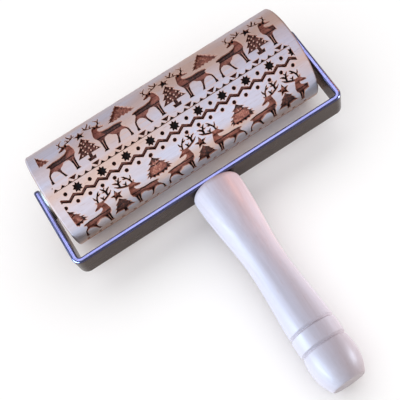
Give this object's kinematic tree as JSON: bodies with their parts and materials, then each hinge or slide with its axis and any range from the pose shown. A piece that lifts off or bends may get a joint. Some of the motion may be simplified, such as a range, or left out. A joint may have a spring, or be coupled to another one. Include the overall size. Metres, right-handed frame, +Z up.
{
  "type": "engraved pattern roller",
  "caption": "Embossing roller: an engraved wooden roller spins in a bent flat-steel yoke with a turned wooden handle.",
  "frame": {"origin": "centre of the whole tool's footprint, on the surface that it lies on", "axes": "+X along the roller's axis, +Y from the handle towards the roller, +Z up from the table; the frame and handle slope down to the handle's end"},
  "size_m": [0.151, 0.176, 0.05],
  "materials": {
    "engraved_wood": "fine-sanded pale beech with a laser-darkened engraving",
    "handle_wood": "turned and smooth, thin clear coat",
    "strap_steel": "polished flat stainless bar, softened edges",
    "axle_steel": "drawn bright rod",
    "fastener_steel": "machined stainless",
    "bush_nylon": "natural nylon",
    "washer_nylon": "natural nylon",
    "insert_brass": "turned brass"
  },
  "bodies": {
    "frame": {"frame_strap": "strap_steel", "axle_rod": "axle_steel", "left_axle_screw": "fastener_steel", "right_axle_screw": "fastener_steel", "left_thrust_washer": "washer_nylon", "right_thrust_washer": "washer_nylon", "handle": "handle_wood", "handle_insert": "insert_brass", "handle_screw": "fastener_steel"},
    "roller": {"roller_body": "engraved_wood", "left_bush": "bush_nylon", "right_bush": "bush_nylon"}
  },
  "joints": [
    {"name": "roller_spin", "type": "hinge", "parent": "frame", "child": "roller", "pos_m": [0, 0.06303, 0.025], "axis": [1, 0, 0], "continuous": true}
  ]
}
